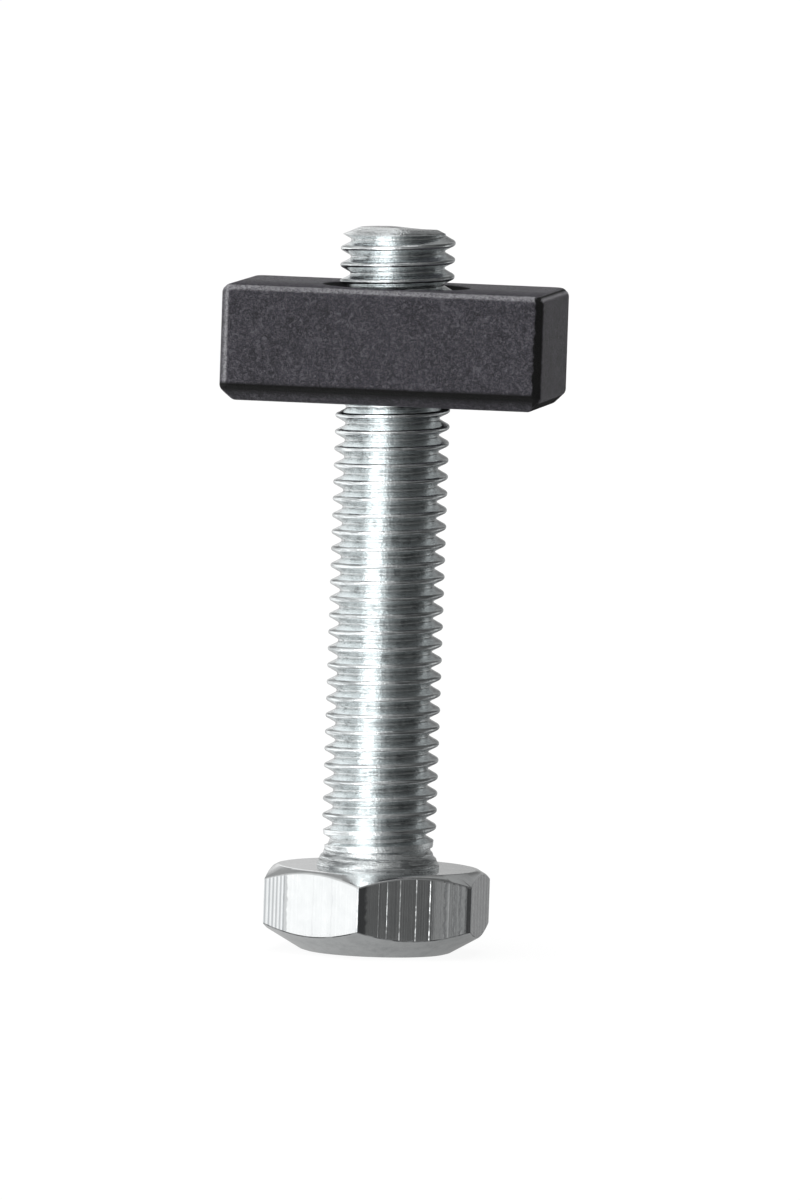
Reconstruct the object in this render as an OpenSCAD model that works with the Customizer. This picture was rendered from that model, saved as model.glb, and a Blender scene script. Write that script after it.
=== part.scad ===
// Hexagon head screw M12 with a threaded clamp block on its free end.
// Units are millimetres, +Z is up. The screw stands on its head: the middle of the
// head's end face is the origin, and the shank rises along +Z to the chamfered tip.
// The block travels on the thread; it is drawn near the tip.

/* [Screw thread] */
// Thread major diameter, M12 coarse
thread_d = 12; // [6:0.5:24]
// Axial distance between neighbouring crests
thread_pitch = 1.75; // [1:0.05:3]
// Shank length from the bearing face to the tip
shank_len = 67; // [40:0.5:120]
// Flat steps in one turn of the thread
thread_steps = 20; // [12:1:32]
// Length of shank over which the thread fades towards the neck
runout_len = 2; // [0.5:0.1:4]

/* [Screw tip] */
// Diameter of the flat end face
tip_d = 8.3; // [5:0.1:9]
// Slope of the tip chamfer, measured from the end face
tip_angle = 25; // [20:1:45]

/* [Screw head] */
// Width across the flats
head_af = 22; // [15:0.5:36]
// Height of the head, from its end face to the bearing face
head_h = 8.9; // [5:0.1:15]
// Diameter of the bearing face inside its chamfer
bearing_d = 21; // [15:0.1:30]
// Diameter of the flat end face of the head
head_flat_d = 15.4; // [8:0.1:22]
// Slope of both head chamfers, measured from the faces
head_angle = 30; // [15:1:40]
// Turn of the hexagon about the screw's axis; at 30 a corner faces the block's long side
head_turn = 30; // [-30:1:30]

/* [Screw neck] */
// Diameter of the collar under the head
collar_d = 12.9; // [7:0.1:20]
// Height of the collar
collar_h = 1.1; // [0.8:0.1:3]
// Radius of the collar's rounded shoulder
collar_round = 0.6; // [0.1:0.1:0.8]
// Diameter of the plain neck between the collar and the thread
neck_d = 11.5; // [6:0.1:20]
// Height of the plain neck above the collar
neck_h = 0.7; // [0.2:0.1:4]

/* [Block] */
// Length of the block
block_len = 34; // [20:0.5:60]
// Depth of the block
block_w = 20; // [18:0.5:40]
// Height of the block
block_h = 12.2; // [6:0.1:20]
// Length of screw that stands out above the block
tip_stand = 6; // [0:0.5:20]
// Turn of the block about the screw's axis
block_turn = 0; // [-180:1:180]
// Bevel along the upper edges
bevel_top = 0.7; // [0.2:0.1:2]
// Bevel along the lower edges of the long sides
bevel_low = 1.7; // [0.2:0.1:3]
// Bevel along the lower edges of the two ends
bevel_end = 1.3; // [0.2:0.1:3]
// Bevel along the two upright edges of the front
bevel_side = 0.8; // [0.2:0.1:3]
// Radius of the two upright edges at the back
back_round = 1.8; // [0.5:0.1:5]

/* [Block hole] */
// Radial clearance between the thread crests and the hole
hole_clear = 0.05; // [0.02:0.01:0.1]
// Diameter of the countersink at both ends of the hole
sink_d = 15.6; // [13:0.1:18]
// Slope of the countersink, measured from the face
sink_angle = 45; // [30:1:60]

/* [Hidden] */
$fn = 96;
thread_r = thread_d / 2;
// Metric profile: depth, crest flat and root flat follow from the pitch
thread_depth = 0.6134 * thread_pitch;
root_r = thread_r - thread_depth;
crest_w = thread_pitch / 8;
flank_w = thread_depth * tan(30);
root_w = thread_pitch - crest_w - 2 * flank_w;
tip_z = head_h + shank_len;
neck_r = neck_d / 2;
neck_z = head_h + collar_h + neck_h;
// Overlap of bodies that are joined, and the dip of the faded thread into the neck
join = thread_d / 12;
dip = thread_d / 200;
// The helix starts inside the neck and ends where the chamfer has taken the crest away
helix_z0 = neck_z - 1.1 * thread_pitch;
helix_z1 = tip_z - (root_r + dip - tip_d / 2) * tan(tip_angle);
helix_turns = floor((helix_z1 - helix_z0) / thread_pitch);
helix_start = helix_z1 - helix_turns * thread_pitch;
helix_count = (helix_turns - 1) * thread_steps;
core_r = root_r * cos(180 / thread_steps) - dip;
block_z1 = tip_z - tip_stand;
block_z0 = block_z1 - block_h;
hole_r = thread_r + hole_clear;
sink_h = (sink_d / 2 - hole_r) * tan(sink_angle);
head_corner_r = head_af / 2 / cos(30);

// Share of the full thread form at a height: 0 in the neck, 1 past the run-out
function form(z) = max(0, min(1, (z - neck_z) / runout_len + 0.15));
// Radius of a thread point, faded at the neck and cut by the tip chamfer
function cut_r(r, z) = min(
    (neck_r - dip) + (r - neck_r + dip) * form(z),
    tip_d / 2 + (tip_z - z) / tan(tip_angle));
// One point of the helix: step i around, place j along the profile
profile_z = [0, root_w, root_w + flank_w, root_w + flank_w + crest_w];
profile_r = [root_r, root_r, thread_r, thread_r];
function helix_point(i, j) =
    let (a = i * 360 / thread_steps,
         z = helix_start + i * thread_pitch / thread_steps + profile_z[j],
         r = cut_r(profile_r[j], z))
    [r * cos(a), r * sin(a), z];

// Right-hand external thread as one closed body, core included
module thread_body() {
    n = helix_count;
    s = thread_steps;
    rows = n + s;
    // Rows past n carry only the root line that closes the last turn
    points = concat(
        [for (i = [0:n - 1]) for (j = [0:3]) helix_point(i, j)],
        [for (i = [n:rows]) helix_point(i, 0)],
        [[0, 0, helix_start], [0, 0, helix_start + rows * thread_pitch / s]]);
    low = len(points) - 2;
    high = len(points) - 1;
    function at(i, j) = i < n ? 4 * i + j : 4 * n + i - n;
    function quad(a, b, c, d) = [[a, b, c], [a, c, d]];
    strips = [for (i = [0:n - 2]) for (j = [0:3])
        j < 3 ? quad(at(i, j), at(i, j + 1), at(i + 1, j + 1), at(i + 1, j))
              : quad(at(i, 3), at(i + s, 0), at(i + 1 + s, 0), at(i + 1, 3))];
    sides = [for (q = strips) for (t = q) t];
    low_cap = concat(
        [for (i = [0:s - 1]) [low, at(i, 0), at(i + 1, 0)]],
        [[low, at(0, 1), at(0, 0)], [low, at(0, 2), at(0, 1)],
         [low, at(0, 3), at(0, 2)], [low, at(s, 0), at(0, 3)]]);
    e = n - 1;
    high_cap = concat(
        [for (i = [e:rows - 2]) [high, at(i + 1, 0), at(i, 0)]],
        [[high, at(e, 0), at(e, 1)], [high, at(e, 1), at(e, 2)],
         [high, at(e, 2), at(e, 3)], [high, at(e, 3), at(e + s, 0)]]);
    polyhedron(points = points, faces = concat(sides, low_cap, high_cap), convexity = 10);
}

// Plain core with the chamfered end face
module core() {
    rotate_extrude()
        polygon([
            [0, head_h - join], [core_r, head_h - join],
            [core_r, tip_z - (core_r - tip_d / 2) * tan(tip_angle)],
            [tip_d / 2, tip_z], [0, tip_z]]);
}

// Collar with a rounded shoulder, and the neck that runs into the thread root
module neck() {
    r = collar_d / 2;
    shoulder_z = head_h + collar_h - collar_round;
    root_z = neck_z + neck_r - core_r;
    rotate_extrude() {
        polygon([
            [0, head_h - join], [r, head_h - join], [r, shoulder_z],
            [r - collar_round, head_h + collar_h], [0, head_h + collar_h]]);
        translate([r - collar_round, shoulder_z])
            circle(r = collar_round);
        polygon([
            [0, head_h], [neck_r, head_h], [neck_r, neck_z],
            [core_r - dip, root_z + dip], [0, root_z + dip]]);
    }
}

// Hexagon with a chamfer at both ends
module head() {
    rim_r = head_corner_r + join;
    rise = (rim_r - bearing_d / 2) * tan(head_angle);
    drop = (rim_r - head_flat_d / 2) * tan(head_angle);
    intersection() {
        rotate([0, 0, head_turn])
            cylinder(r = head_corner_r, h = head_h, $fn = 6);
        rotate_extrude()
            polygon([
                [0, 0], [head_flat_d / 2, 0], [rim_r, drop],
                [rim_r, head_h - rise], [bearing_d / 2, head_h], [0, head_h]]);
    }
}

module hex_screw() {
    color("Silver") {
        head();
        neck();
        core();
        thread_body();
    }
}

// Outline of a block side with its own bevels below and above
module side_outline(len, low, top) {
    polygon([
        [-len / 2 + low, 0], [len / 2 - low, 0], [len / 2, low],
        [len / 2, block_h - top], [len / 2 - top, block_h],
        [-len / 2 + top, block_h], [-len / 2, block_h - top], [-len / 2, low]]);
}

// Outline from above: bevelled corners in front, round ones at the back
module plan_outline() {
    x = block_len / 2;
    y = block_w / 2;
    b = bevel_side;
    r = back_round;
    polygon([
        [-x + b, -y], [x - b, -y], [x, -y + b], [x, y - r],
        [x - r, y], [-x + r, y], [-x, y - r], [-x, -y + b]]);
    for (side = [-1, 1])
        translate([side * (x - r), y - r])
            circle(r = r);
}

module block_body() {
    intersection() {
        translate([0, block_w, 0])
            rotate([90, 0, 0])
                linear_extrude(2 * block_w)
                    side_outline(block_len, bevel_end, bevel_top);
        translate([-block_len, 0, 0])
            rotate([90, 0, 90])
                linear_extrude(2 * block_len)
                    side_outline(block_w, bevel_low, bevel_top);
        linear_extrude(block_h)
            plan_outline();
    }
}

// Hole on the screw's axis with a countersink at both ends
module block_hole() {
    mouth_r = sink_d / 2 + join / tan(sink_angle);
    rotate_extrude()
        polygon([
            [0, -join], [mouth_r, -join], [hole_r, sink_h],
            [hole_r, block_h - sink_h], [mouth_r, block_h + join], [0, block_h + join]]);
}

module clamp_block() {
    color("DimGray")
        translate([0, 0, block_z0])
            rotate([0, 0, block_turn])
                difference() {
                    block_body();
                    block_hole();
                }
}

hex_screw();
clamp_block();
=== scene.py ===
# %% [markdown]
# # Hexagon screw with a clamp block
# A zinc-plated M12 screw stands on its head and carries a black steel block on its thread.
# It is the measure for every piece that is made here, and each new piece rides on one of
# its bodies.

# %% Load the frame
import bpy
import math
from mathutils import Matrix, Vector


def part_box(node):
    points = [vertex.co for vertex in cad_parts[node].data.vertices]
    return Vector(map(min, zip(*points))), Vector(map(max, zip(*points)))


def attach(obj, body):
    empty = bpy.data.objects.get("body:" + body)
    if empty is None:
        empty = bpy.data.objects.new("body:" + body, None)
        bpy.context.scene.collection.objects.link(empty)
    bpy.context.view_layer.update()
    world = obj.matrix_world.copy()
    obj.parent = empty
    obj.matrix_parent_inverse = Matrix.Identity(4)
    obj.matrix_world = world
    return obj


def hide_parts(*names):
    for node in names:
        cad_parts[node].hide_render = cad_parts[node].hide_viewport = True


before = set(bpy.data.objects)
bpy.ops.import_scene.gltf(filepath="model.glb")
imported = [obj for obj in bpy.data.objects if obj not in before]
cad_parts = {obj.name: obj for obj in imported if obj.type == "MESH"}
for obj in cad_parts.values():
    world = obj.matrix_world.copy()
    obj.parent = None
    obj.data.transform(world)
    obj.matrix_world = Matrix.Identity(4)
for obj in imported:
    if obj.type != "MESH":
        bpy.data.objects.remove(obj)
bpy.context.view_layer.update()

# %% [markdown]
# Sizes are written in millimetres, as on a drawing, and turned to metres where they are used.
# What the solid model already knows is read from it, so that the pieces fit it.

# %% Sizes from the frame
MM = 0.001
block_low, block_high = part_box("clamp_block")
screw_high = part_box("hex_screw")[1]
tip_z = screw_high.z / MM
block_z0, block_z1 = block_low.z / MM, block_high.z / MM
block_len = (block_high.x - block_low.x) / MM
block_deep = (block_high.y - block_low.y) / MM
print("tip at", round(tip_z, 2), "mm, block", round(block_len, 1), "x", round(block_deep, 1),
      "x", round(block_z1 - block_z0, 1), "mm")

# %% [markdown]
# ## Small helpers
# An operator acts on everything that is selected, so each step starts by clearing the
# selection. Colours are picked as sRGB hex values, and Blender works in linear light, so one
# function converts them. One more function adds a shader node with its settings and links.

# %% Helpers for selection, colour and nodes
def only(obj):
    """Select one object alone and make it the active one."""
    bpy.ops.object.select_all(action="DESELECT")
    obj.select_set(True)
    bpy.context.view_layer.objects.active = obj


def linear(hex_colour):
    """A colour such as #F2F2F2 as the linear values that a shader works in."""
    parts = [int(hex_colour[i:i + 2], 16) / 255 for i in (1, 3, 5)]
    return tuple(c / 12.92 if c <= 0.04045 else ((c + 0.055) / 1.055) ** 2.4 for c in parts) + (1,)


def add_node(tree, kind, inputs=None, **settings):
    """A new node. An input is either linked from another node's output or given a value."""
    made = tree.nodes.new(kind)
    for name, value in settings.items():
        setattr(made, name, value)
    for name, value in (inputs or {}).items():
        if isinstance(value, bpy.types.NodeSocket):
            tree.links.new(value, made.inputs[name])
        else:
            made.inputs[name].default_value = value
    return made


# %% [markdown]
# ## Camera
# A long lens from two metres away keeps the screw's edges almost parallel. The camera looks
# a little down on the block, from a little to its right, and it is rolled by about
# two degrees, so the screw leans.

# %% Camera
view_turn, view_rise, view_roll = math.radians(8.8), math.radians(4.1), math.radians(1.9)
distance = 2.0
lens_length = 573
mid_height = 37.95
pan_right, pan_up = 1.37, -1.05
aim = Vector((0, 0, mid_height * MM))
back = Vector((math.sin(view_turn) * math.cos(view_rise),
               -math.cos(view_turn) * math.cos(view_rise), math.sin(view_rise)))
level = back.to_track_quat("Z", "Y").to_matrix()
rolled = level @ Matrix.Rotation(view_roll, 3, "Z")
pan = rolled @ Vector((pan_right * MM, pan_up * MM, 0))
bpy.ops.object.camera_add(location=aim + back * distance + pan)
camera = bpy.context.object
camera.name = "camera"
camera.rotation_euler = rolled.to_euler()
camera.data.sensor_width = 36
camera.data.lens = lens_length
camera.data.clip_start, camera.data.clip_end = 0.05, 20
bpy.context.scene.camera = camera
bpy.context.scene.view_settings.view_transform = "Standard"
print("camera at", [round(v, 3) for v in camera.location])

# %% [markdown]
# ## Turned profiles
# A screw's collar, tip and chamfers are turned shapes. On a lathe a profile goes round an
# axis, and here a chain of edges does the same: a single point is extruded from corner to
# corner, then spun round Z.

# %% Draw a profile and spin it
seam_gap = 0.00001  # points nearer than this, in metres, are the two sides of one seam


def chain(name, corners):
    """A line of edges through corners given as (radius, height) in millimetres."""
    bpy.ops.object.select_all(action="DESELECT")
    bpy.ops.mesh.primitive_plane_add(size=0.001, location=(0, 0, 0))
    obj = bpy.context.object
    obj.name = name
    bpy.ops.object.mode_set(mode="EDIT")
    bpy.ops.mesh.select_mode(type="VERT")
    bpy.ops.mesh.select_all(action="SELECT")
    bpy.ops.mesh.merge(type="CENTER")
    r, z = corners[0]
    bpy.ops.transform.translate(value=(r * MM, 0, z * MM))
    for (r0, z0), (r1, z1) in zip(corners, corners[1:]):
        bpy.ops.mesh.extrude_vertices_move(
            TRANSFORM_OT_translate={"value": ((r1 - r0) * MM, 0, (z1 - z0) * MM)})
    bpy.ops.object.mode_set(mode="OBJECT")
    bpy.ops.object.transform_apply(location=True, rotation=True, scale=True)
    return obj


def turned(name, corners, steps=128, offset=0.3):
    """A turned body. The offset, in steps, keeps its seams off the edges of what it meets."""
    obj = chain(name, corners)
    bpy.ops.object.mode_set(mode="EDIT")
    bpy.ops.mesh.select_all(action="SELECT")
    bpy.ops.mesh.spin(steps=steps, angle=2 * math.pi, center=(0, 0, 0), axis=(0, 0, 1))
    bpy.ops.mesh.select_all(action="SELECT")
    bpy.ops.mesh.remove_doubles(threshold=seam_gap)
    bpy.ops.mesh.normals_make_consistent(inside=False)
    bpy.ops.object.mode_set(mode="OBJECT")
    bpy.ops.transform.rotate(value=offset * 2 * math.pi / steps, orient_axis="Z",
                             center_override=(0, 0, 0))
    bpy.ops.object.transform_apply(location=True, rotation=True, scale=True)
    return obj


def combine(obj, other, how):
    """Join, cut or intersect with another body, which is used up."""
    only(obj)
    cut = obj.modifiers.new("combine", "BOOLEAN")
    cut.operation = how
    cut.solver = "EXACT"
    cut.object = other
    bpy.ops.object.modifier_apply(modifier=cut.name)
    bpy.data.objects.remove(other)


# %% [markdown]
# ## Thread
# The thread is rolled: dies press a 60 degree groove into the blank, with a small flat on
# the crest and a round root. The Screw modifier sweeps one pitch of that profile round the
# axis and up, and the seams between the turns are then merged.

# %% Sweep the thread
pitch = 1.75
thread_r = 6.0
head_h = 8.9
depth = 0.6134 * pitch
root_r = thread_r - depth
# Half a pitch of the groove, from the middle of the root to the edge of the crest.
half_form = [(root_r, 0), (root_r + 0.02, 0.09), (root_r + 0.09, 0.18), (root_r + 0.25, 0.26),
             (thread_r - 0.36, pitch / 2 - 0.36), (thread_r - 0.19, pitch / 2 - 0.28),
             (thread_r - 0.07, pitch / 2 - 0.19), (thread_r - 0.01, pitch / 2 - 0.08)]
one_pitch = half_form + [(thread_r, pitch / 2)] + [(r, pitch - z) for r, z in half_form[::-1]]
turns, steps_per_turn = 40, 64
past_tip = 1.2  # how far the sweep runs on, which sets where the groove leaves the tip
thread_start = tip_z + past_tip - turns * pitch - pitch
shank = chain("screw_shank", [(r, z + thread_start) for r, z in one_pitch])
sweep = shank.modifiers.new("sweep", "SCREW")
sweep.axis = "Z"
sweep.angle = 2 * math.pi
sweep.screw_offset = pitch * MM
sweep.iterations = turns
sweep.steps = sweep.render_steps = steps_per_turn
bpy.ops.object.modifier_apply(modifier=sweep.name)
bpy.ops.object.mode_set(mode="EDIT")
bpy.ops.mesh.select_all(action="SELECT")
bpy.ops.mesh.remove_doubles(threshold=seam_gap / 5)
bpy.ops.mesh.select_all(action="DESELECT")
bpy.ops.mesh.select_mode(type="EDGE")
bpy.ops.mesh.select_non_manifold(extend=False, use_wire=False, use_boundary=True,
                                 use_multi_face=False, use_non_contiguous=False,
                                 use_verts=False)
bpy.ops.mesh.fill_holes(sides=0)
bpy.ops.mesh.select_all(action="SELECT")
bpy.ops.mesh.normals_make_consistent(inside=False)
bpy.ops.object.mode_set(mode="OBJECT")
print("thread faces:", len(shank.data.polygons))

# %% [markdown]
# The tip is chamfered so that a nut starts easily, and near the head the groove runs out
# into a plain neck. One turned body takes away what stands outside the blank, and another
# fills the groove where it fades. This is how a turner would see it, and it keeps the
# thread whole everywhere else.

# %% Chamfer the tip, run the thread out, add the collar
tip_r = 4.15
tip_slope = math.tan(math.radians(25))
collar_h, neck_h = 1.1, 0.7
collar_top = head_h + collar_h
neck_top = collar_top + neck_h
outside_r = thread_r + 0.2  # clear of the crests, so that it cuts nothing there
blank = turned("blank", [
    (0, head_h - 1.0), (5.65, head_h - 1.0), (5.65, neck_top), (5.76, neck_top + 1.2),
    (5.96, neck_top + 2.4), (outside_r, neck_top + 3.6),
    (outside_r, tip_z - (outside_r - tip_r) * tip_slope),
    (tip_r + 0.12, tip_z - 0.12 * tip_slope - 0.02), (tip_r - 0.1, tip_z), (0, tip_z)])
combine(shank, blank, "INTERSECT")
neck = turned("neck", [
    (0, head_h - 0.9), (6.45, head_h - 0.9), (6.45, head_h + 0.25), (6.40, head_h + 0.45),
    (6.28, head_h + 0.62), (6.18, head_h + 0.74), (6.14, head_h + 0.86), (6.10, head_h + 1.0),
    (6.00, collar_top + 0.02), (5.84, collar_top + 0.14), (5.76, collar_top + 0.28),
    (5.74, collar_top + 0.42), (5.66, neck_top - 0.12), (5.50, neck_top + 0.02),
    (5.44, neck_top + 0.2), (5.36, neck_top + 0.4), (5.20, neck_top + 0.75),
    (5.02, neck_top + 1.25), (4.85, neck_top + 2.0), (0, neck_top + 2.0)])
combine(shank, neck, "UNION")
shank_low = min(v.co.z for v in shank.data.vertices) / MM
print("shank faces:", len(shank.data.polygons), "from z", round(shank_low, 2), "mm")

# %% [markdown]
# ## Head
# The head is forged as a hexagon and both ends are chamfered, which gives each flat its
# curved upper and lower edge. A six-sided prism is cut by one turned body, and its edges
# are then rounded a little, because forged and plated steel has no sharp edge.

# %% Hexagon head
across_flats = 22.0
end_flat_r, bearing_r = 7.7, 10.5
round_width = 0.14
corner_r = across_flats / 2 / math.cos(math.radians(30))
bpy.ops.object.select_all(action="DESELECT")
bpy.ops.mesh.primitive_cylinder_add(vertices=6, radius=corner_r * MM, depth=head_h * MM,
                                    location=(0, 0, head_h / 2 * MM))
head = bpy.context.object
head.name = "screw_head"
bpy.ops.object.transform_apply(location=True, rotation=True, scale=True)
slope = math.tan(math.radians(30))
rim = corner_r + 1
turned_end = turned("turned_end", [
    (0, 0), (end_flat_r - 0.25, 0), (end_flat_r + 0.25, 0.14),
    (rim, (rim - end_flat_r) * slope), (rim, head_h - (rim - bearing_r) * slope),
    (bearing_r + 0.1, head_h - 0.06), (bearing_r - 0.2, head_h), (0, head_h)],
    steps=192, offset=0.5)
combine(head, turned_end, "INTERSECT")
soften = head.modifiers.new("soften", "BEVEL")
soften.width = round_width * MM
soften.segments = 2
soften.limit_method = "ANGLE"
soften.angle_limit = math.radians(24)
only(head)
bpy.ops.object.modifier_apply(modifier=soften.name)
print("head faces:", len(head.data.polygons))

# %% [markdown]
# ## Clamp block
# The block is sawn from bar and bevelled all round, more below than above, with round
# upright edges at the back. Its edges are bevelled one group after another: first the
# upright ones, then the lower rim, which a slanting cut widens on the long sides, and last
# the upper rim. The hole is countersunk at both ends.

# %% Bevelled block
front_bevel, back_round, end_bevel, side_bevel, top_bevel = 0.8, 1.8, 1.3, 1.7, 0.6
edge_round = 0.28
hole_r, sink_r = 6.05, 7.8


def bevel_where(test, width, segments=1):
    """Bevel the active object's edges whose two ends, in millimetres, pass the test."""
    mesh = bpy.context.object.data
    bpy.ops.object.mode_set(mode="EDIT")
    bpy.ops.mesh.select_mode(type="EDGE")
    bpy.ops.mesh.select_all(action="DESELECT")
    bpy.ops.object.mode_set(mode="OBJECT")
    for edge in mesh.edges:
        a, b = (mesh.vertices[v].co / MM for v in edge.vertices)
        edge.select = test(a, b)
    bpy.ops.object.mode_set(mode="EDIT")
    bpy.ops.mesh.bevel(offset=width * MM, segments=segments, affect="EDGES")
    bpy.ops.object.mode_set(mode="OBJECT")


bpy.ops.object.select_all(action="DESELECT")
bpy.ops.mesh.primitive_cube_add(size=1, location=(0, 0, (block_z0 + block_z1) / 2 * MM))
block = bpy.context.object
block.name = "clamp_block_body"
bpy.ops.transform.resize(value=(block_len * MM, block_deep * MM, (block_z1 - block_z0) * MM))
bpy.ops.object.transform_apply(location=True, rotation=True, scale=True)
bevel_where(lambda a, b: abs(a.z - b.z) > 1 and a.y < 0, front_bevel)
bevel_where(lambda a, b: abs(a.z - b.z) > 1 and a.y > block_deep / 2 - 0.1, back_round, 6)
bevel_where(lambda a, b: max(a.z, b.z) < block_z0 + 0.01, end_bevel)
bpy.ops.object.mode_set(mode="EDIT")
for side in (-1, 1):
    bpy.ops.mesh.select_all(action="SELECT")
    bpy.ops.mesh.bisect(plane_co=(0, side * block_deep / 2 * MM, (block_z0 + side_bevel) * MM),
                        plane_no=(0, side, -1), use_fill=True, clear_outer=True)
bpy.ops.object.mode_set(mode="OBJECT")
bevel_where(lambda a, b: min(a.z, b.z) > block_z1 - 0.01, top_bevel)
sink = sink_r - hole_r
cutter = turned("cutter", [
    (0, block_z0 - 1), (sink_r + 1, block_z0 - 1), (hole_r, block_z0 + sink),
    (hole_r, block_z1 - sink), (sink_r + 1, block_z1 + 1), (0, block_z1 + 1)])
combine(block, cutter, "DIFFERENCE")
soften = block.modifiers.new("soften", "BEVEL")
soften.width = edge_round * MM
soften.segments = 4
soften.use_clamp_overlap = False
soften.limit_method = "ANGLE"
soften.angle_limit = math.radians(24)
only(block)
bpy.ops.object.modifier_apply(modifier=soften.name)
print("block faces:", len(block.data.polygons))

# %% [markdown]
# ## Smooth shading
# Curved faces are shaded smooth and hard corners stay crisp. Weighted normals let each large
# face keep its own direction, so the shading turns only on the small rounded edges.

# %% Shade
for piece, angle in ((shank, 38), (head, 40), (block, 50)):
    only(piece)
    bpy.ops.object.shade_smooth_by_angle(angle=math.radians(angle))
    if piece is not shank:
        steady = piece.modifiers.new("steady", "WEIGHTED_NORMAL")
        steady.weight = 100
        steady.keep_sharp = True
        bpy.ops.object.modifier_apply(modifier=steady.name)

# %% [markdown]
# ## Finish of the screw: bright zinc plating on rolled steel
# Zinc plating is a thin bright metal coat with a slightly cloudy gloss. It follows the steel
# below, so the thread shows fine rolling lines that run round it, and small pits.

# %% Zinc on the thread
zinc = bpy.data.materials.new("zinc_plated_rolled_steel")
zinc.use_nodes = True
tree = zinc.node_tree
shader = tree.nodes["Principled BSDF"]
shader.inputs["Metallic"].default_value = 1.0
where = add_node(tree, "ShaderNodeTexCoord").outputs["Object"]

# The dies draw the rolling lines, strokes and scuffs out round the screw, and the streaks of
# painted shade in the roots are drawn out the same way. Rolling lines are about 0.2 mm apart
# up the screw and several millimetres long round it; the other marks are shorter and coarser.
rolled = {}
for mark, across, upward, detail, roughness in (
        ("lines", 120, 5200, 3.0, 0.6), ("painted_root_streaks", 900, 3600, 4.0, 0.7),
        ("strokes", 260, 4200, 4.0, 0.7), ("scuffs", 360, 2900, 5.0, 0.7)):
    stretched = add_node(tree, "ShaderNodeMapping", {"Vector": where,
                                                     "Scale": (across, across, upward)})
    rolled[mark] = add_node(tree, "ShaderNodeTexNoise", {
        "Vector": stretched.outputs[0], "Scale": 1.0, "Detail": detail, "Roughness": roughness})
lines = rolled["lines"]
pits = add_node(tree, "ShaderNodeTexNoise", {"Vector": where, "Scale": 3600.0, "Detail": 2.0})
cloud = add_node(tree, "ShaderNodeTexNoise", {"Vector": where, "Scale": 260.0, "Detail": 4.0})
tint = add_node(tree, "ShaderNodeMix", {"Factor": cloud.outputs["Fac"], "A": linear("#E1E6E7"),
                                        "B": linear("#EFF3F4")}, data_type="RGBA")

# %% [markdown]
# The bottom of the groove is painted greyer, as painted shade in the recess, with painted dark
# streaks in it. The distance from the screw's axis tells root from crest, so it places the marks.

# %% Painted shade in the root, rubbed crests and scuffed neck
axes = add_node(tree, "ShaderNodeSeparateXYZ", {"Vector": where}).outputs
level_place = add_node(tree, "ShaderNodeCombineXYZ", {"X": axes["X"], "Y": axes["Y"]})
radius = add_node(tree, "ShaderNodeVectorMath", {0: level_place.outputs[0]}, operation="LENGTH")
# Painted shade: the root of the groove is drawn greyer.
painted_root_shade = add_node(tree, "ShaderNodeMapRange", {
    "Value": radius.outputs["Value"], "From Min": (root_r + 0.28) * MM,
    "From Max": (root_r + 0.02) * MM, "To Min": 0.0, "To Max": 0.4})
not_end = add_node(tree, "ShaderNodeMapRange", {
    "Value": radius.outputs["Value"], "From Min": (root_r - 0.3) * MM,
    "From Max": (root_r - 0.12) * MM})
painted_root_shade = add_node(tree, "ShaderNodeMath", {0: painted_root_shade.outputs[0], 1: not_end.outputs[0]},
                   operation="MULTIPLY")
# Painted shade: dark streaks in the root of the groove.
painted_root_streaks = add_node(tree, "ShaderNodeMapRange", {
    "Value": rolled["painted_root_streaks"].outputs["Fac"], "From Min": 0.5, "From Max": 0.62,
    "To Min": 0.0, "To Max": 1.4})
painted_root_streaks = add_node(tree, "ShaderNodeMath", {0: painted_root_streaks.outputs[0], 1: painted_root_shade.outputs[0]},
                   operation="MULTIPLY")
# The die has rubbed the crests, so thin broken strokes along them are duller than the flanks.
on_crest = add_node(tree, "ShaderNodeMapRange", {
    "Value": radius.outputs["Value"], "From Min": (thread_r - 0.22) * MM,
    "From Max": (thread_r - 0.08) * MM})
strokes = add_node(tree, "ShaderNodeMapRange", {
    "Value": rolled["strokes"].outputs["Fac"], "From Min": 0.46, "From Max": 0.6,
    "To Min": 0.0, "To Max": 0.6})
strokes = add_node(tree, "ShaderNodeMath", {0: strokes.outputs[0], 1: on_crest.outputs[0]},
                   operation="MULTIPLY")
# Near the head the groove fades, and the die has scuffed the neck and the collar.
scuffed = add_node(tree, "ShaderNodeMapRange", {
    "Value": axes["Z"], "From Min": (neck_top + 1.9) * MM, "From Max": (neck_top + 0.3) * MM})
scuffs = add_node(tree, "ShaderNodeMath", {
    0: rolled["scuffs"].outputs["Fac"], 1: scuffed.outputs[0]}, operation="MULTIPLY")
dark_scuffs = add_node(tree, "ShaderNodeMapRange", {
    "Value": scuffs.outputs[0], "From Min": 0.5, "From Max": 0.62, "To Min": 0.0, "To Max": 0.6})
# Layers of the coat and of its painted shade, from the lowest to the top.
coat = tint
for share, colour in ((painted_root_shade, "#8E9494"), (painted_root_streaks, "#4A4F50"), (strokes, "#4E5456"),
                      (dark_scuffs, "#5C6163")):
    coat = add_node(tree, "ShaderNodeMix", {
        "Factor": share.outputs[0], "A": coat.outputs["Result"], "B": linear(colour)},
        data_type="RGBA")
tree.links.new(coat.outputs["Result"], shader.inputs["Base Color"])

# %% [markdown]
# The same rolling lines make the gloss uneven and stand out a little. A bump is enough for
# them, because they are a few hundredths of a millimetre high.

# %% Gloss and relief of the thread
gloss = add_node(tree, "ShaderNodeMapRange", {"Value": lines.outputs["Fac"], "From Min": 0.3,
                                              "From Max": 0.75, "To Min": 0.08, "To Max": 0.22})
tree.links.new(gloss.outputs[0], shader.inputs["Roughness"])
both = add_node(tree, "ShaderNodeMath", {0: lines.outputs["Fac"], 1: pits.outputs["Fac"]},
                operation="ADD")
both = add_node(tree, "ShaderNodeMath", {0: scuffs.outputs[0], 1: 3.0, 2: both.outputs[0]},
                operation="MULTIPLY_ADD")
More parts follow.
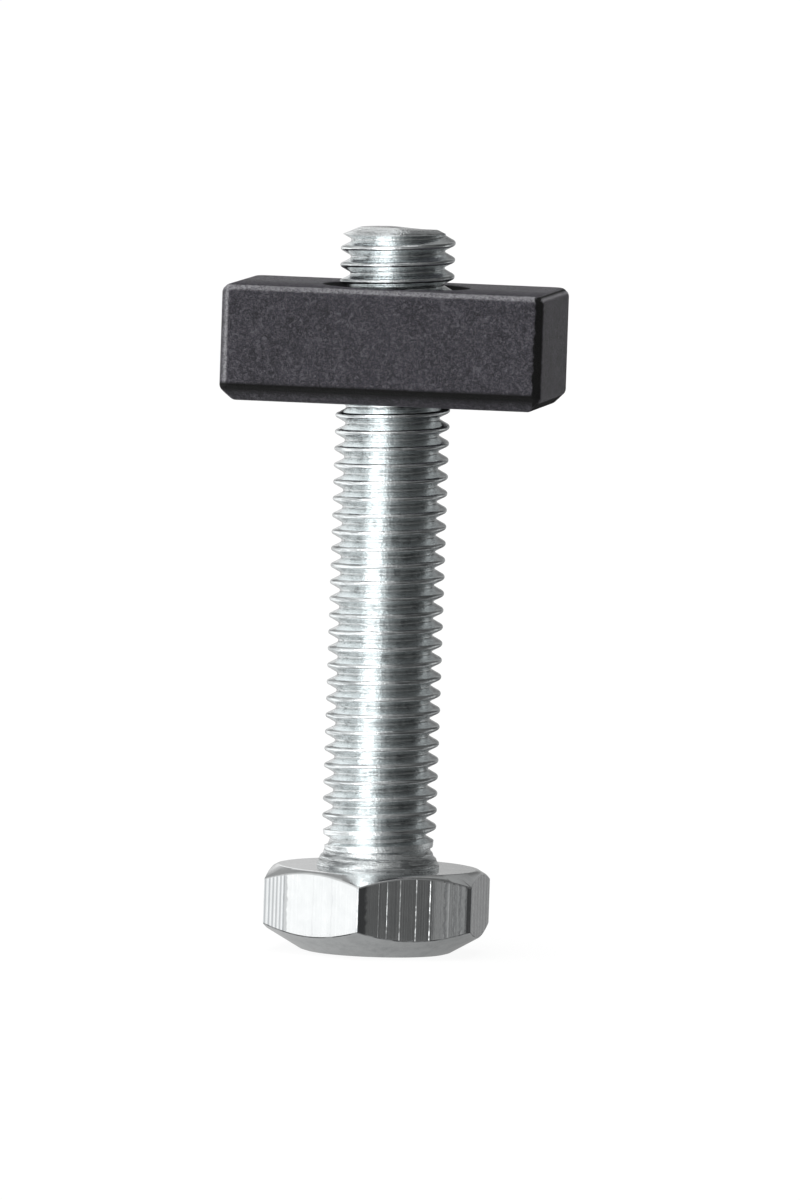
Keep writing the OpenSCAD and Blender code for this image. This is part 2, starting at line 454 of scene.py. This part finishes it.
# The lathe left fine grooves on the tip's end face, one every 0.3 mm.
groove = add_node(tree, "ShaderNodeMath", {0: radius.outputs["Value"],
                                           1: 2 * math.pi / (0.3 * MM)}, operation="MULTIPLY")
groove = add_node(tree, "ShaderNodeMath", {0: groove.outputs[0]}, operation="SINE")
at_end = add_node(tree, "ShaderNodeMath", {0: 1.0, 1: not_end.outputs[0]}, operation="SUBTRACT")
groove = add_node(tree, "ShaderNodeMath", {0: groove.outputs[0], 1: at_end.outputs[0]},
                  operation="MULTIPLY")
both = add_node(tree, "ShaderNodeMath", {0: groove.outputs[0], 1: 0.5, 2: both.outputs[0]},
                operation="MULTIPLY_ADD")
relief = add_node(tree, "ShaderNodeBump", {"Height": both.outputs[0], "Strength": 0.5,
                                           "Distance": 0.00006})
tree.links.new(relief.outputs[0], shader.inputs["Normal"])
print("thread finish:", len(tree.nodes), "nodes")

# %% [markdown]
# ## Finish of the head: zinc on sheared flats
# The flats were trimmed by a die that dragged downwards, so they carry upright shear
# marks. The angle round the screw says where on a flat a point is, whatever its height.

# %% Zinc on the head
plated = bpy.data.materials.new("zinc_plated_sheared_steel")
plated.use_nodes = True
tree = plated.node_tree
shader = tree.nodes["Principled BSDF"]
shader.inputs["Metallic"].default_value = 1.0
where = add_node(tree, "ShaderNodeTexCoord").outputs["Object"]
axes = add_node(tree, "ShaderNodeSeparateXYZ", {"Vector": where}).outputs
turn = add_node(tree, "ShaderNodeMath", {0: axes["Y"], 1: axes["X"]}, operation="ARCTAN2")
# One unit for each flat: 0 is the corner in front, 1 the next corner to its right.
flat = add_node(tree, "ShaderNodeMath", {0: turn.outputs[0], 1: 3 / math.pi, 2: 1.5},
                operation="MULTIPLY_ADD").outputs[0]
# The same place with a ragged edge, because coat and tears follow no straight line.
ragged = add_node(tree, "ShaderNodeTexNoise", {"Vector": where, "Scale": 1400.0, "Detail": 4.0})
ragged = add_node(tree, "ShaderNodeMath", {0: ragged.outputs["Fac"], 1: 0.045, 2: -0.0225},
                  operation="MULTIPLY_ADD")
ragged = add_node(tree, "ShaderNodeMath", {0: flat, 1: ragged.outputs[0]},
                  operation="ADD").outputs[0]


def height_profile(start, end, corners, place=flat):
    """A height drawn across the flats between two places, as 0 to 1."""
    share = add_node(tree, "ShaderNodeMapRange", {"Value": place, "From Min": start,
                                                  "From Max": end})
    ramp = add_node(tree, "ShaderNodeValToRGB", {"Fac": share.outputs[0]})
    stops = ramp.color_ramp.elements
    stops.remove(stops[-1])
    for i, (at, height) in enumerate(corners):
        at = (at - start) / (end - start)
        stop = stops[0] if i == 0 else stops.new(at)
        stop.position = at
        stop.color = (height, height, height, 1)
    return ramp.outputs["Color"]


# %% [markdown]
# The marks belong to the upright flats only: the chamfers and the ends are smooth. Each
# list gives places across a flat with a height, as a profile gauge would read them.

# %% Shear marks on the flats
normal = add_node(tree, "ShaderNodeNewGeometry").outputs["True Normal"]
slant = add_node(tree, "ShaderNodeSeparateXYZ", {"Vector": normal}).outputs["Z"]
tilt = add_node(tree, "ShaderNodeMath", {0: slant}, operation="ABSOLUTE")
upright_share = add_node(tree, "ShaderNodeMapRange", {
    "Value": tilt.outputs[0], "From Min": 0.2, "From Max": 0.35, "To Min": 1.0,
    "To Max": 0.0}).outputs[0]
# Deep scratches down the right front flat: narrow ridges, about 0.15 mm wide.
scratches = [(0.0, 0.0)]
for at, tall in ((0.170, 0.45), (0.245, 0.9), (0.363, 0.85), (0.519, 0.9), (0.652, 1.2)):
    scratches += [(at - 0.007, 0.0), (at, tall), (at + 0.004, 0.0)]
scratches += [(1.0, 0.0)]
ridges = height_profile(0.0, 1.0, scratches)
# Broad steps where the die tore the right end of that flat.
tears = height_profile(0.64, 1.0, [
    (0.64, 0.0), (0.668, 0.0), (0.70, 0.12), (0.772, 0.5), (0.786, 0.2), (0.83, 0.5),
    (0.853, 0.62), (0.866, 0.3), (0.902, 0.55), (0.914, 0.25), (0.956, 0.6), (0.968, 0.3),
    (1.0, 0.3)])
# Grey in the steps, along the front corner and beside the ribs, where the coat is thin.
thin_coat = height_profile(-0.81, 1.0, [
    (-0.81, 0.0), (-0.80, 0.5), (-0.775, 0.55), (-0.76, 0.0), (-0.48, 0.0), (-0.475, 0.16),
    (-0.465, 0.0), (-0.27, 0.0), (-0.262, 0.12), (-0.25, 0.0), (-0.012, 0.0), (0.0, 0.9),
    (0.055, 0.9), (0.075, 0.0), (0.66, 0.0), (0.668, 0.5), (0.70, 0.0), (0.776, 0.0),
    (0.79, 0.6), (0.81, 0.0), (0.856, 0.0), (0.87, 0.6), (0.885, 0.1), (0.906, 0.1),
    (0.92, 0.6), (0.94, 0.05), (0.97, 0.75), (1.0, 0.6)], ragged)
# Fine ribs, about 0.5 mm apart, at the left end of the left front flat, and broader ones on
# the side flats.
ribs = add_node(tree, "ShaderNodeTexWave", {"Vector": add_node(
    tree, "ShaderNodeCombineXYZ", {"X": flat}).outputs[0], "Scale": 8.6, "Distortion": 0.9,
    "Detail": 2.0, "Detail Scale": 3.0}, bands_direction="X", wave_profile="SIN")
broad_ribs = add_node(tree, "ShaderNodeTexWave", {"Vector": add_node(
    tree, "ShaderNodeCombineXYZ", {"X": flat}).outputs[0], "Scale": 1.9, "Distortion": 0.8,
    "Detail": 2.0, "Detail Scale": 3.0}, bands_direction="X", wave_profile="SIN")
left_end = add_node(tree, "ShaderNodeMapRange", {
    "Value": flat, "From Min": -0.80, "From Max": -0.785, "To Min": 1.0, "To Max": 0.0})
side = add_node(tree, "ShaderNodeMapRange", {"Value": flat, "From Min": 0.99, "From Max": 1.0})
ribbed = add_node(tree, "ShaderNodeMath", {0: left_end.outputs[0], 1: side.outputs[0]},
                  operation="MAXIMUM")
rib_form = add_node(tree, "ShaderNodeMix", {"Factor": side.outputs[0], "A": ribs.outputs["Fac"],
                                            "B": broad_ribs.outputs["Fac"]})
rib_height = add_node(tree, "ShaderNodeMath", {0: rib_form.outputs[0], 1: ribbed.outputs[0]},
                      operation="MULTIPLY")
# Faint drag marks on every flat.
marks = add_node(tree, "ShaderNodeTexNoise", {"W": flat, "Scale": 22.0, "Detail": 6.0,
                                              "Roughness": 0.7}, noise_dimensions="1D")

# %% [markdown]
# The coat is one bright metal. It is mixed with greyer tints where it is thin and where
# forging scale shows through it, and with painted shade between the ribs and along the lower
# edge of each flat.

# %% Colour of the coat on the head
cloud = add_node(tree, "ShaderNodeTexNoise", {"Vector": where, "Scale": 700.0, "Detail": 4.0})
tint = add_node(tree, "ShaderNodeMix", {"Factor": cloud.outputs["Fac"], "A": linear("#DEE1E2"),
                                        "B": linear("#F2F4F4")}, data_type="RGBA")
# Painted shade: the coat is drawn greyer between the ribs.
rib_valley_shade = add_node(tree, "ShaderNodeMapRange", {"Value": rib_form.outputs[0], "From Min": 0.75,
                                               "From Max": 0.25, "To Min": 0.25})
for share in (ribbed.outputs[0], upright_share):
    rib_valley_shade = add_node(tree, "ShaderNodeMath", {0: rib_valley_shade.outputs[0], 1: share},
                      operation="MULTIPLY")
on_flat = add_node(tree, "ShaderNodeMath", {0: thin_coat, 1: upright_share}, operation="MULTIPLY")
# Forging scale shows through as dull clouds on the chamfers and the faces.
dull = add_node(tree, "ShaderNodeTexNoise", {"Vector": where, "Scale": 620.0, "Detail": 6.0,
                                             "Roughness": 0.7})
dull = add_node(tree, "ShaderNodeMapRange", {"Value": dull.outputs["Fac"], "From Min": 0.45,
                                             "From Max": 0.7, "To Min": 0.0, "To Max": 0.3})
off_flat = add_node(tree, "ShaderNodeMath", {0: 1.0, 1: upright_share}, operation="SUBTRACT")
dull = add_node(tree, "ShaderNodeMath", {0: dull.outputs[0], 1: off_flat.outputs[0]},
                operation="MULTIPLY")
# Painted shade: the lower edge of each flat, where the surface starts to face down, is drawn dark.
turning = add_node(tree, "ShaderNodeMapRange", {"Value": slant, "From Min": -0.04,
                                                "From Max": -0.12})
turned_down = add_node(tree, "ShaderNodeMapRange", {"Value": slant, "From Min": -0.48,
                                                    "From Max": -0.42})
uneven = add_node(tree, "ShaderNodeMapRange", {"Value": cloud.outputs["Fac"], "From Min": 0.4,
                                               "From Max": 0.6, "To Min": 0.25, "To Max": 0.8})
down_edge_shade = turning
for share in (turned_down, uneven):
    down_edge_shade = add_node(tree, "ShaderNodeMath", {0: down_edge_shade.outputs[0], 1: share.outputs[0]},
                    operation="MULTIPLY")
# Layers of the coat and of its painted shade, from the lowest to the top.
coat = tint
for share, colour in ((rib_valley_shade, "#B4B7B9"), (on_flat, "#8B8E90"), (dull, "#A3A6A7"),
                      (down_edge_shade, "#2E3032")):
    coat = add_node(tree, "ShaderNodeMix", {
        "Factor": share.outputs[0], "A": coat.outputs["Result"], "B": linear(colour)},
        data_type="RGBA")
tree.links.new(coat.outputs["Result"], shader.inputs["Base Color"])

# %% [markdown]
# All the marks are heights in millimetres, so they add up to one relief. It fades
# where the flats end, and fine grit lies over everything.

# %% Gloss and relief of the head
gloss = add_node(tree, "ShaderNodeMapRange", {"Value": cloud.outputs["Fac"], "From Min": 0.3,
                                              "From Max": 0.7, "To Min": 0.07, "To Max": 0.15})
tree.links.new(gloss.outputs[0], shader.inputs["Roughness"])
total = add_node(tree, "ShaderNodeMath", {0: marks.outputs["Fac"], 1: 0.025},
                 operation="MULTIPLY")
broken = add_node(tree, "ShaderNodeTexNoise", {"Vector": where, "Scale": 1500.0, "Detail": 3.0})
broken = add_node(tree, "ShaderNodeMapRange", {"Value": broken.outputs["Fac"], "From Min": 0.4,
                                               "From Max": 0.6, "To Min": 0.5, "To Max": 1.0})
ridges = add_node(tree, "ShaderNodeMath", {0: ridges, 1: broken.outputs[0]},
                  operation="MULTIPLY").outputs[0]
for height, amount in ((ridges, 0.05), (tears, 0.42), (rib_height.outputs[0], 0.016)):
    total = add_node(tree, "ShaderNodeMath", {0: height, 1: amount, 2: total.outputs[0]},
                     operation="MULTIPLY_ADD")
relief = add_node(tree, "ShaderNodeBump", {"Height": total.outputs[0], "Distance": 0.001,
                                           "Strength": upright_share})
pits = add_node(tree, "ShaderNodeTexNoise", {"Vector": where, "Scale": 3600.0, "Detail": 2.0})
grit = add_node(tree, "ShaderNodeBump", {"Height": pits.outputs["Fac"], "Strength": 0.14,
                                         "Distance": 0.00005, "Normal": relief.outputs[0]})
tree.links.new(grit.outputs[0], shader.inputs["Normal"])
print("head finish:", len(tree.nodes), "nodes")

# %% [markdown]
# ## Finish of the block: black phosphated steel
# Phosphating leaves a matt, slightly grainy black coat. The real grain is too fine to show,
# so it is drawn about a quarter of a millimetre wide. The upper and left edges carry a painted
# highlight.

# %% Black phosphate on the block
phosphate = bpy.data.materials.new("black_phosphated_steel")
phosphate.use_nodes = True
tree = phosphate.node_tree
shader = tree.nodes["Principled BSDF"]
shader.inputs["Metallic"].default_value = 0.0
shader.inputs["Specular IOR Level"].default_value = 0.35
where = add_node(tree, "ShaderNodeTexCoord").outputs["Object"]
grain = add_node(tree, "ShaderNodeTexNoise", {"Vector": where, "Scale": 3400.0, "Detail": 4.0,
                                              "Roughness": 0.7, "Distortion": 1.2})
patch = add_node(tree, "ShaderNodeTexNoise", {"Vector": where, "Scale": 420.0, "Detail": 5.0,
                                              "Roughness": 0.6})
shade = add_node(tree, "ShaderNodeMix", {"Factor": patch.outputs["Fac"], "A": linear("#222027"),
                                         "B": linear("#53515A")}, data_type="RGBA")
speck = add_node(tree, "ShaderNodeMapRange", {"Value": grain.outputs["Fac"], "From Min": 0.47,
                                              "From Max": 0.66, "To Min": 0.0, "To Max": 0.9})
# The coat dried in soft wrinkles about a millimetre apart; their dark troughs are painted shade
# and their paler crests a painted highlight.
wrinkle = add_node(tree, "ShaderNodeTexNoise", {"Vector": where, "Scale": 1150.0, "Detail": 3.0,
                                                "Roughness": 0.65, "Distortion": 2.2})
wrinkle_shade = add_node(tree, "ShaderNodeMapRange", {"Value": wrinkle.outputs["Fac"], "From Min": 0.48,
                                               "From Max": 0.36, "To Min": 0.0, "To Max": 0.45})
wrinkle_highlight = add_node(tree, "ShaderNodeMapRange", {"Value": wrinkle.outputs["Fac"], "From Min": 0.53,
                                              "From Max": 0.66, "To Min": 0.0, "To Max": 0.4})

# %% [markdown]
# Where a surface faces between two axes it is an edge. The upper edges and the left one are
# painted lighter as a painted highlight, and the place on the block says which edge it is.

# %% Painted highlight on the block's edges
facing = add_node(tree, "ShaderNodeSeparateXYZ", {
    "Vector": add_node(tree, "ShaderNodeNewGeometry").outputs["Normal"]}).outputs
most = add_node(tree, "ShaderNodeMath", {0: facing["Z"]}, operation="ABSOLUTE")
for axis in ("X", "Y"):
    size = add_node(tree, "ShaderNodeMath", {0: facing[axis]}, operation="ABSOLUTE")
    most = add_node(tree, "ShaderNodeMath", {0: most.outputs[0], 1: size.outputs[0]},
                    operation="MAXIMUM")
edge = add_node(tree, "ShaderNodeMapRange", {"Value": most.outputs[0], "From Min": 0.96,
                                             "From Max": 0.82})
side = add_node(tree, "ShaderNodeMapRange", {"Value": facing["Z"], "From Min": 0.1,
                                             "From Max": 0.6})
# Painted highlight on the edges that face up.
edge_highlight = add_node(tree, "ShaderNodeMath", {0: edge.outputs[0], 1: side.outputs[0]},
                  operation="MULTIPLY")
# On the left upright bevel the painted highlight is only the line next to the front.
place = add_node(tree, "ShaderNodeSeparateXYZ", {"Vector": where}).outputs
left_x, right_x, front_y = -block_len / 2, block_len / 2, -block_deep / 2
left_in = add_node(tree, "ShaderNodeMapRange", {
    "Value": place["X"], "From Min": (left_x + 0.3) * MM,
    "From Max": (left_x + 0.62) * MM, "To Min": 0.12, "To Max": 1.3})
left_out = add_node(tree, "ShaderNodeMapRange", {
    "Value": place["X"], "From Min": (left_x + 0.9) * MM,
    "From Max": (left_x + 0.72) * MM})
in_front = add_node(tree, "ShaderNodeMapRange", {
    "Value": place["Y"], "From Min": (front_y + 0.95) * MM,
    "From Max": (front_y + 0.75) * MM})
over_low = add_node(tree, "ShaderNodeMapRange", {
    "Value": place["Z"], "From Min": (block_z0 + 1.5) * MM, "From Max": (block_z0 + 2.2) * MM})
left_highlight_line = left_in
for share in (left_out, in_front, over_low):
    left_highlight_line = add_node(tree, "ShaderNodeMath", {0: left_highlight_line.outputs[0], 1: share.outputs[0]},
                         operation="MULTIPLY")
edge_highlight = add_node(tree, "ShaderNodeMath", {0: edge_highlight.outputs[0], 1: left_highlight_line.outputs[0]},
                  operation="MAXIMUM")
# The grain breaks up the painted highlight.
highlight_grain = add_node(tree, "ShaderNodeMapRange", {"Value": grain.outputs["Fac"], "From Min": 0.4,
                                             "From Max": 0.62, "To Min": 0.25, "To Max": 1.15})
edge_highlight = add_node(tree, "ShaderNodeMath", {0: edge_highlight.outputs[0], 1: highlight_grain.outputs[0]},
                  operation="MULTIPLY")

# %% [markdown]
# The right bevel next to the front and a line along the top of the lower bevel are painted
# near-black, as painted shade. The hole is painted dark too, as painted shade in the recess.

# %% Painted shade on the bevels and in the hole
below = add_node(tree, "ShaderNodeMapRange", {
    "Value": place["Z"], "From Min": (block_z0 + 0.5) * MM, "From Max": (block_z0 + 1.25) * MM,
    "To Min": 0.35, "To Max": 1.0})
above = add_node(tree, "ShaderNodeMapRange", {
    "Value": place["Z"], "From Min": (block_z0 + 2.05) * MM, "From Max": (block_z0 + 1.75) * MM})
black_shade_line = add_node(tree, "ShaderNodeMath", {0: below.outputs[0], 1: above.outputs[0]},
                operation="MULTIPLY")
to_front = add_node(tree, "ShaderNodeMapRange", {"Value": facing["Y"], "From Min": -0.3,
                                                 "From Max": -0.6})
black_shade_line = add_node(tree, "ShaderNodeMath", {0: black_shade_line.outputs[0], 1: to_front.outputs[0]},
                operation="MULTIPLY")
right = add_node(tree, "ShaderNodeMapRange", {"Value": facing["X"], "From Min": 0.25,
                                              "From Max": 0.45})
inner = add_node(tree, "ShaderNodeMapRange", {
    "Value": place["X"], "From Min": (right_x - 0.2) * MM,
    "From Max": (right_x - 0.42) * MM})
for share in (edge, inner):
    right = add_node(tree, "ShaderNodeMath", {0: right.outputs[0], 1: share.outputs[0]},
                     operation="MULTIPLY")
# The painted shade reaches a little way on to the front, unevenly.
shade_onto_front = add_node(tree, "ShaderNodeMath", {0: patch.outputs["Fac"], 1: 0.0016, 2: place["X"]},
               operation="MULTIPLY_ADD")
shade_onto_front = add_node(tree, "ShaderNodeMapRange", {
    "Value": shade_onto_front.outputs[0], "From Min": (right_x - 0.16) * MM,
    "From Max": (right_x - 0.02) * MM})
shade_onto_front = add_node(tree, "ShaderNodeMath", {0: shade_onto_front.outputs[0], 1: to_front.outputs[0]},
               operation="MULTIPLY")
right = add_node(tree, "ShaderNodeMath", {0: right.outputs[0], 1: shade_onto_front.outputs[0]},
                 operation="MAXIMUM")
# Painted shade: near-black on the right bevel next to the front and in the line above the lower
# bevel.
painted_black_shade = add_node(tree, "ShaderNodeMath", {0: black_shade_line.outputs[0], 1: right.outputs[0]},
                 operation="MAXIMUM")
# The hole and its countersinks are painted nearly black, as painted shade in the recess.
level_place = add_node(tree, "ShaderNodeCombineXYZ", {"X": place["X"], "Y": place["Y"]})
radius = add_node(tree, "ShaderNodeVectorMath", {0: level_place.outputs[0]}, operation="LENGTH")
in_hole = add_node(tree, "ShaderNodeMapRange", {
    "Value": radius.outputs["Value"], "From Min": (sink_r + 0.05) * MM,
    "From Max": (sink_r - 0.15) * MM})
# Layers of the coat and of its painted light and shade, from the lowest to the top.
coat = shade
for share, colour in ((speck, "#74727A"), (wrinkle_shade, "#1E1C22"), (wrinkle_highlight, "#85838B"),
                      (edge_highlight, "#B6B5BA"), (painted_black_shade, "#040405"), (in_hole, "#111113")):
    coat = add_node(tree, "ShaderNodeMix", {
        "Factor": share.outputs[0], "A": coat.outputs["Result"], "B": linear(colour)},
        data_type="RGBA")
tree.links.new(coat.outputs["Result"], shader.inputs["Base Color"])

# %% [markdown]
# The coat's own grain scatters light, so it also drives the roughness and the bump. The
# bump is deeper than on a real coat, for the same reason as the width of the grain.

# %% Gloss and grain of the block
gloss = add_node(tree, "ShaderNodeMapRange", {"Value": grain.outputs["Fac"], "From Min": 0.3,
                                              "From Max": 0.7, "To Min": 0.36, "To Max": 0.5})
gloss = add_node(tree, "ShaderNodeMath", {0: in_hole.outputs[0], 1: 0.5, 2: gloss.outputs[0]},
                 operation="MULTIPLY_ADD", use_clamp=True)
# The black line and the front half of the top are the most matt.
top = add_node(tree, "ShaderNodeMapRange", {"Value": facing["Z"], "From Min": 0.85,
                                            "From Max": 0.97})
top_front = add_node(tree, "ShaderNodeMapRange", {"Value": place["Y"], "From Min": 0.0,
                                                  "From Max": front_y * MM})
top_front = add_node(tree, "ShaderNodeMath", {0: top.outputs[0], 1: top_front.outputs[0]},
                     operation="MULTIPLY")
for share, duller in ((top_front, 0.45), (painted_black_shade, 0.4)):
    gloss = add_node(tree, "ShaderNodeMath", {0: share.outputs[0], 1: duller,
                                              2: gloss.outputs[0]},
                     operation="MULTIPLY_ADD", use_clamp=True)
tree.links.new(gloss.outputs[0], shader.inputs["Roughness"])
relief = add_node(tree, "ShaderNodeBump", {"Height": grain.outputs["Fac"], "Strength": 1.0,
                                           "Distance": 0.0005})
tree.links.new(relief.outputs[0], shader.inputs["Normal"])
print("block finish:", len(tree.nodes), "nodes")

# %% [markdown]
# ## Put the pieces on their bodies
# The shank and the head are one forged screw, so both ride on its body and both stand for
# its solid. The block rides on its own body and moves along the thread.

# %% Ride and replace
for piece, body, solid, finish, slot in (
        (shank, "screw", "hex_screw", zinc, "zinc_steel"),
        (head, "screw", "hex_screw", plated, "zinc_steel"),
        (block, "block", "clamp_block", phosphate, "black_steel")):
    piece.data.materials.clear()
    piece.data.materials.append(finish)
    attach(piece, body)
    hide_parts(solid)
    print(piece.name, "rides on", body, "and replaces", solid)

# %% [markdown]
# ## Studio
# The screw stands on a white floor in a white room. What the camera sees of them is plain
# white, with a faint shadow. Shiny metal is drawn by what it reflects: a large white panel
# to the left, a dark room to the right, and the paper it stands on.

# %% Floor
bpy.ops.object.select_all(action="DESELECT")
bpy.ops.mesh.primitive_circle_add(vertices=64, radius=3, fill_type="NGON", location=(0, 0, 0))
floor = bpy.context.object
floor.name = "floor"
paper = bpy.data.materials.new("white_paper_floor")
paper.use_nodes = True
tree = paper.node_tree
tree.nodes.clear()
rays = add_node(tree, "ShaderNodeLightPath").outputs
# Metal sees the paper light on the left and dim on the right, where a dark card lies.
place = add_node(tree, "ShaderNodeTexCoord").outputs["Object"]
across = add_node(tree, "ShaderNodeSeparateXYZ", {"Vector": place}).outputs["X"]
card = add_node(tree, "ShaderNodeMapRange", {"Value": across, "From Min": -0.014,
                                             "From Max": 0.014, "To Min": 0.48, "To Max": 0.28},
                interpolation_type="SMOOTHSTEP")
in_metal = add_node(tree, "ShaderNodeMath", {0: rays["Is Glossy Ray"], 1: card.outputs[0]},
                    operation="MULTIPLY")
strength = add_node(tree, "ShaderNodeMath", {0: rays["Is Camera Ray"], 1: 1.05,
                                             2: in_metal.outputs[0]}, operation="MULTIPLY_ADD")
seen = add_node(tree, "ShaderNodeMath", {0: rays["Is Camera Ray"], 1: rays["Is Glossy Ray"]},
                operation="ADD")
share = add_node(tree, "ShaderNodeMath", {0: seen.outputs[0], 1: 0.88}, operation="MULTIPLY")
matt = add_node(tree, "ShaderNodeBsdfDiffuse", {"Color": linear("#F2F2F2")})
white = add_node(tree, "ShaderNodeEmission", {"Color": (1, 1, 1, 1),
                                              "Strength": strength.outputs[0]})
mixed = add_node(tree, "ShaderNodeMixShader", {0: share.outputs[0], 1: matt.outputs[0],
                                               2: white.outputs[0]})
# Further off, metal looks past the paper into the room.
away = add_node(tree, "ShaderNodeVectorMath", {0: place}, operation="LENGTH")
far = add_node(tree, "ShaderNodeMapRange", {"Value": away.outputs["Value"], "From Min": 0.018,
                                            "From Max": 0.028})
past = add_node(tree, "ShaderNodeMath", {0: far.outputs[0], 1: rays["Is Glossy Ray"]},
                operation="MULTIPLY")
open_air = add_node(tree, "ShaderNodeBsdfTransparent")
paper_or_room = add_node(tree, "ShaderNodeMixShader", {0: past.outputs[0], 1: mixed.outputs[0],
                                                       2: open_air.outputs[0]})
add_node(tree, "ShaderNodeOutputMaterial", {"Surface": paper_or_room.outputs[0]})
floor.data.materials.append(paper)

# %% [markdown]
# ## Room light
# The room is drawn as rings of brightness, one at eye level, one above and one below. Lamps
# could light the screw too, but what round metal shows is the room around it, and a ring
# says exactly what lies in each direction.

# %% Rings of the room
world = bpy.data.worlds.new("studio_room")
bpy.context.scene.world = world
world.use_nodes = True
tree = world.node_tree
tree.nodes.clear()
direction = add_node(tree, "ShaderNodeTexCoord").outputs["Generated"]
# The room is turned so that its X axis runs to the right of the camera.
turned_room = add_node(tree, "ShaderNodeMapping", {"Vector": direction,
                                                   "Rotation": (0, 0, -view_turn)})
axes = add_node(tree, "ShaderNodeSeparateXYZ", {"Vector": turned_room.outputs[0]}).outputs


ring_top = 4  # a ramp is kept within 0 and 1, so a ring stores quarters of its levels


def room_ring(stops_by_degree):
    """Brightness round the room: 0 is at the camera, -90 to its left, 180 behind the screw."""
    toward = add_node(tree, "ShaderNodeMath", {0: axes["Y"], 1: -1.0}, operation="MULTIPLY")
    angle = add_node(tree, "ShaderNodeMath", {0: axes["X"], 1: toward.outputs[0]},
                     operation="ARCTAN2")
    share = add_node(tree, "ShaderNodeMath", {0: angle.outputs[0], 1: 0.5 / math.pi, 2: 0.5},
                     operation="MULTIPLY_ADD")
    ring = add_node(tree, "ShaderNodeValToRGB", {"Fac": share.outputs[0]})
    stops = ring.color_ramp.elements
    stops.remove(stops[-1])
    for i, (degrees, level_value) in enumerate(stops_by_degree):
        place = degrees / 360 + 0.5
        stop = stops[0] if i == 0 else stops.new(place)
        stop.position = place
        stop.color = (level_value / ring_top,) * 3 + (1,)
    return add_node(tree, "ShaderNodeVectorMath", {0: ring.outputs["Color"],
                                                   1: (ring_top,) * 3},
                    operation="MULTIPLY").outputs[0]


# At eye level: a white panel from the far left to the camera, and a dark room to its right.
eye_level = room_ring([(-180, 0.55), (-160, 0.8), (-142, 1.2), (-110, 1.4), (-90, 1.15),
                       (-70, 1.15), (-60, 1.6), (-52, 2.8), (-22, 2.8), (-12, 1.5), (-2, 0.7),
                       (8, 0.4), (22, 0.24), (36, 0.12), (52, 0.08), (78, 0.08), (96, 0.17),
                       (108, 0.26), (117, 0.72), (128, 0.6), (138, 0.28), (156, 0.34),
                       (168, 0.40), (180, 0.5)])
# Above: light grey to the left, dim to the right, and a bright panel overhead.
upper = room_ring([(-180, 0.9), (-176, 1.15), (-171, 0.85), (-165, 0.35), (-150, 0.35),
                   (-120, 0.6), (-60, 0.85), (-50, 1.9), (-24, 1.9), (-10, 0.7), (20, 0.25),
                   (90, 0.1), (146, 0.15), (155, 0.34), (163, 0.29), (170, 0.15), (180, 0.2)])
# Below eye level the panel goes on, but the right side is dimmer still.
lower = room_ring([(-180, 0.45), (-160, 0.75), (-142, 1.15), (-110, 1.35), (-70, 1.15),
                   (-60, 1.6), (-52, 2.8), (-22, 2.8), (-12, 1.45), (-2, 0.62), (8, 0.33),
                   (22, 0.22), (36, 0.12), (52, 0.09), (96, 0.1), (108, 0.18), (117, 0.42),
                   (128, 0.35), (138, 0.15), (160, 0.12), (180, 0.3)])

# %% [markdown]
# The rings are blended by height, and a bright panel lies over them. What mirrors the panel
# sees it dimmer than what it lights, as behind a diffuser. The camera sees plain white.

# %% Blend the rings and add the panel
high, low, overhead = (
    add_node(tree, "ShaderNodeMapRange", {"Value": axes["Z"], "From Min": start,
                                          "From Max": end},
             interpolation_type="SMOOTHSTEP").outputs[0]
    for start, end in ((0.04, 0.24), (-0.12, -0.35), (0.93, 0.97)))
rays = add_node(tree, "ShaderNodeLightPath").outputs
panel_lit, panel_mirrored, white_paper = (level + (1,) for level in (
    (4.5,) * 3, (0.85,) * 3, (1.0,) * 3))
panel = add_node(tree, "ShaderNodeMix", {"Factor": rays["Is Glossy Ray"], "A": panel_lit,
                                         "B": panel_mirrored}, data_type="RGBA")
sky = eye_level
for share, light_there in ((high, upper), (low, lower), (overhead, panel.outputs["Result"]),
                           (rays["Is Camera Ray"], white_paper)):
    sky = add_node(tree, "ShaderNodeMix", {"Factor": share, "A": sky, "B": light_there},
                   data_type="RGBA").outputs["Result"]
light = add_node(tree, "ShaderNodeBackground", {"Color": sky, "Strength": 1.0})
add_node(tree, "ShaderNodeOutputWorld", {"Surface": light.outputs[0]})
